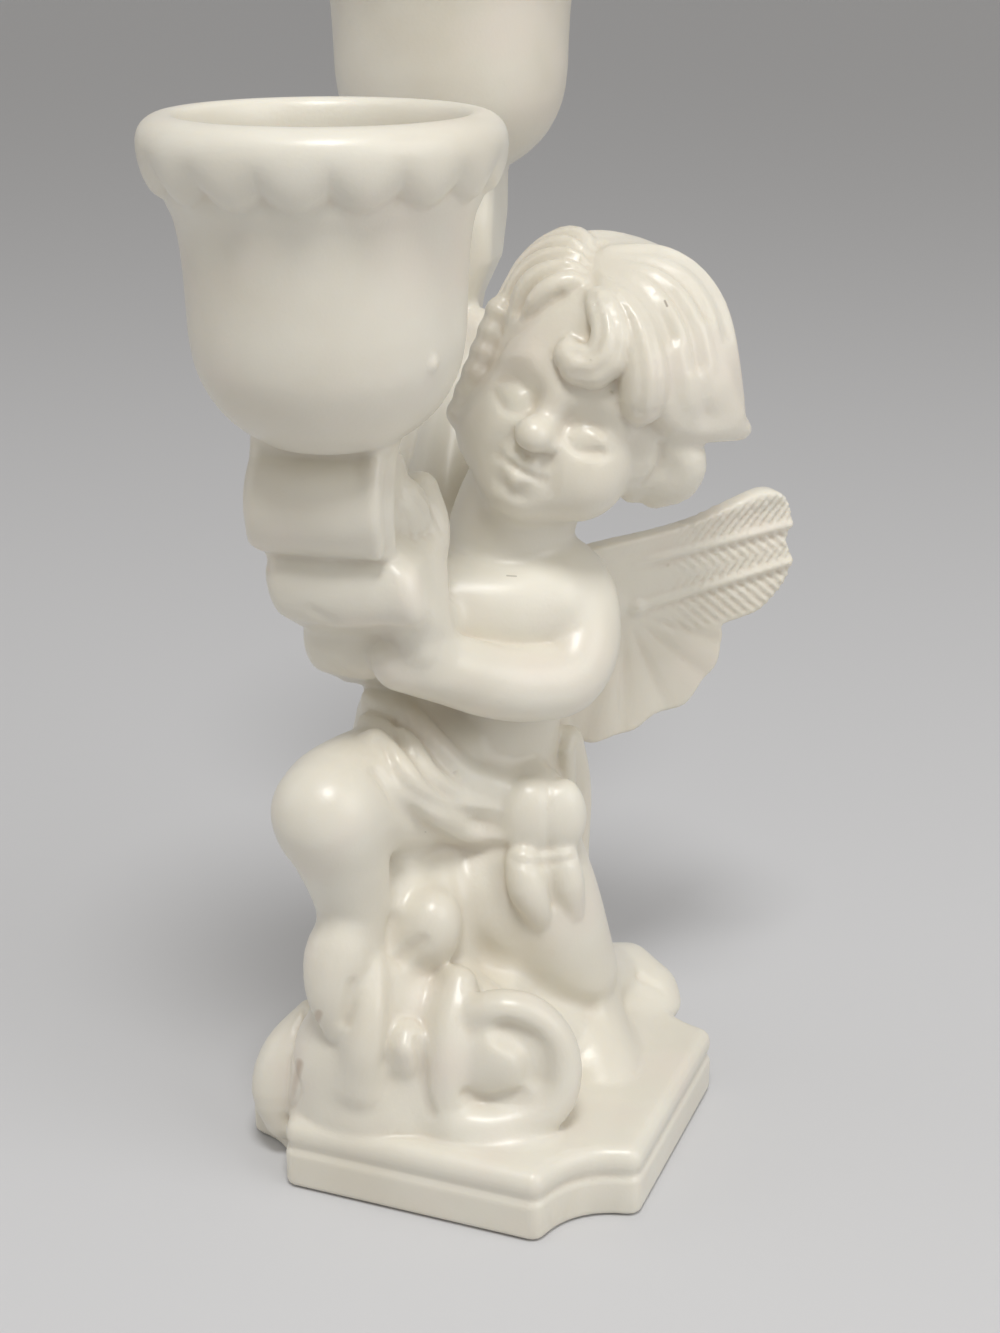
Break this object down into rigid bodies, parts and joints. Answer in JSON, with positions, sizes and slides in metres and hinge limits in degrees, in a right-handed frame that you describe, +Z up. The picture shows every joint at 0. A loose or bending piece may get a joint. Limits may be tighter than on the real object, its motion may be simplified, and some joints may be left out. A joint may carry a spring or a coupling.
{
  "type": "candle holder",
  "caption": "White porcelain candle holder: a kneeling winged cherub on a scooped plinth holds a broad scroll branch that carries a front candle cup and a taller rear one.",
  "frame": {"origin": "centre of the plinth's flat underside", "axes": "+Z up through the figure; the plinth's front face looks along -Y and its right side along +X"},
  "size_m": [0.1042, 0.1466, 0.2352],
  "materials": {
    "white_porcelain": "satin white porcelain with a thin, slightly uneven glaze"
  },
  "bodies": {
    "root": {"cherub_candle_holder": "white_porcelain"}
  },
  "joints": []
}
